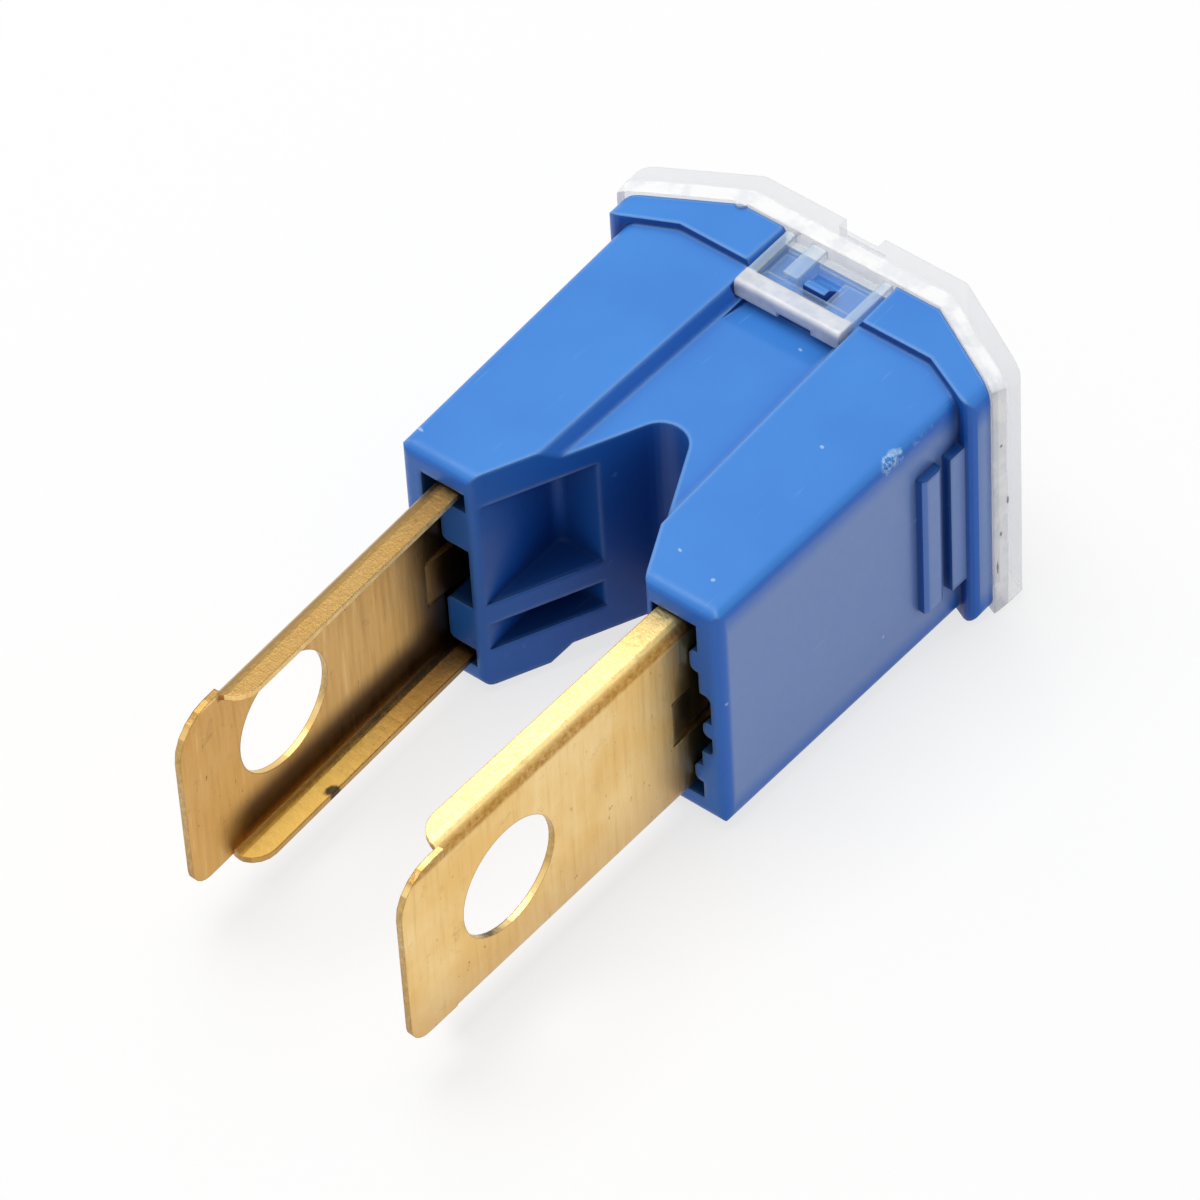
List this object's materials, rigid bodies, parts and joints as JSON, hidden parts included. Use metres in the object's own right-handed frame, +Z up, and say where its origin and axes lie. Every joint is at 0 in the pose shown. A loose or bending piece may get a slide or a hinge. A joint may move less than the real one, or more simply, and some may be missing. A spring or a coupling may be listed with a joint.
{
  "type": "fusible link",
  "caption": "Bolt-down fusible link: drilled brass blades leave the legs of a moulded housing that a clear latched cover closes",
  "frame": {"origin": "middle of the part's box in plan, on the plane that it lies on", "axes": "+X across the two legs, +Y from the blades towards the cover, +Z up out of a broad face"},
  "size_m": [0.02, 0.0376, 0.0134],
  "materials": {
    "housing": "glossy moulded blue",
    "cover": "clear, slightly frosted",
    "conductor": "bright stamped sheet, slightly tarnished",
    "tin_chip": "dull tin"
  },
  "bodies": {
    "root": {"housing": "housing", "cover": "cover", "conductor": "conductor", "tin_chip": "tin_chip"}
  },
  "joints": []
}
